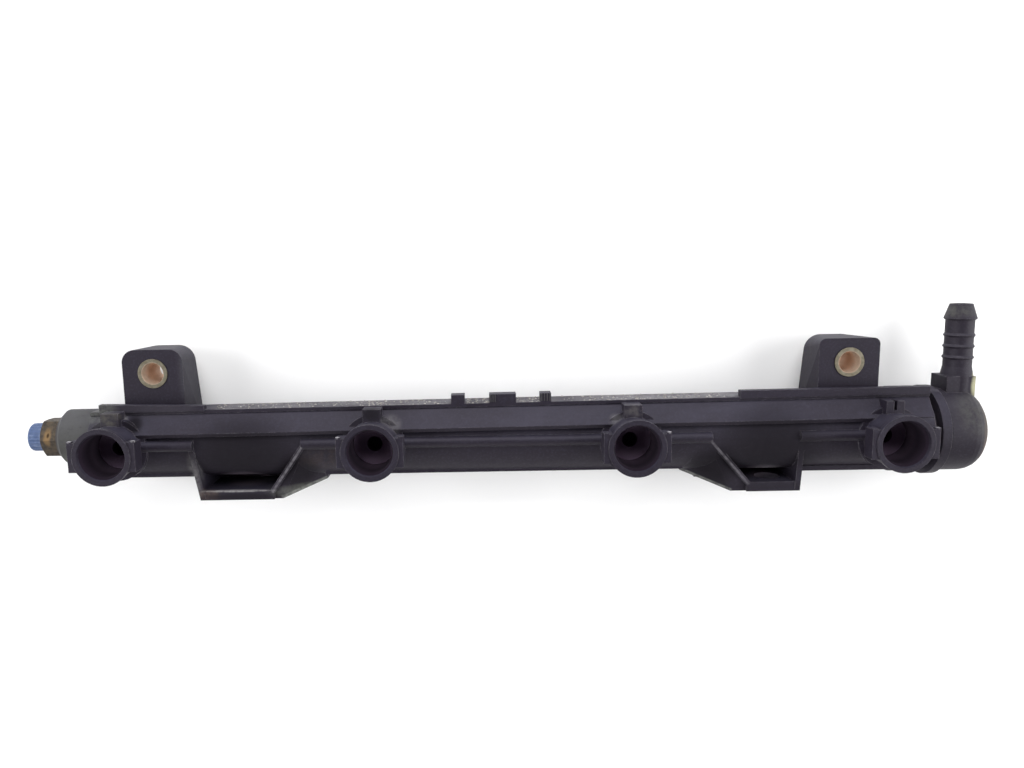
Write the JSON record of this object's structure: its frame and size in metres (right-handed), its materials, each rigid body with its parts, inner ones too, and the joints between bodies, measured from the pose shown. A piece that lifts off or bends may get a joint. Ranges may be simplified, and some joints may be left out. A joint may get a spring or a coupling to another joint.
{
  "type": "fuel rail",
  "caption": "Moulded fuel rail with injector cups, bushed bolt lugs, bracket feet, a hose barb elbow at one end and a capped test valve at the other.",
  "frame": {"origin": "midway between the two bolt axes, in the plane of the lugs' seats on the side that the cups open to", "axes": "+X along the rail towards the hose elbow, +Y from the cups towards the bolt lugs, +Z out of the injector cups; the rail lies on its back"},
  "size_m": [0.3225, 0.0612, 0.0384],
  "materials": {
    "rail_plastic": "black glass-filled nylon, moulded, lightly soiled",
    "elbow_plastic": "black nylon, moulded",
    "bush_steel": "yellow zinc plate, rusty inside the bore",
    "valve_brass": "tarnished brass with rusty dirt",
    "core_brass": "turned brass",
    "core_steel": "bright steel",
    "core_seal_plastic": "white sealing ring",
    "cap_plastic": "blue plastic, scuffed",
    "seal_rubber": "black rubber"
  },
  "bodies": {
    "rail": {"rail_body": "rail_plastic", "left_bush": "bush_steel", "right_bush": "bush_steel", "inlet_elbow": "elbow_plastic", "inlet_seal": "seal_rubber", "test_valve_body": "valve_brass", "test_valve_seal": "seal_rubber", "core_barrel": "core_brass", "core_barrel_seal": "core_seal_plastic", "core_spring": "core_steel"},
    "valve_pin": {"core_pin": "core_steel", "core_pin_seal": "seal_rubber"},
    "valve_cap": {"dust_cap": "cap_plastic", "dust_cap_liner": "seal_rubber"}
  },
  "joints": [
    {"name": "pin_press", "type": "slide", "parent": "rail", "child": "valve_pin", "axis": [1, 0, 0], "range_m": [0, 0.0012], "stiffness_N_per_m": 900, "springref_m": -0.0008, "deforming": ["core_spring"]},
    {"name": "cap_pull", "type": "slide", "parent": "rail", "child": "valve_cap", "axis": [-1, 0, 0], "range_m": [0, 0.008]}
  ]
}
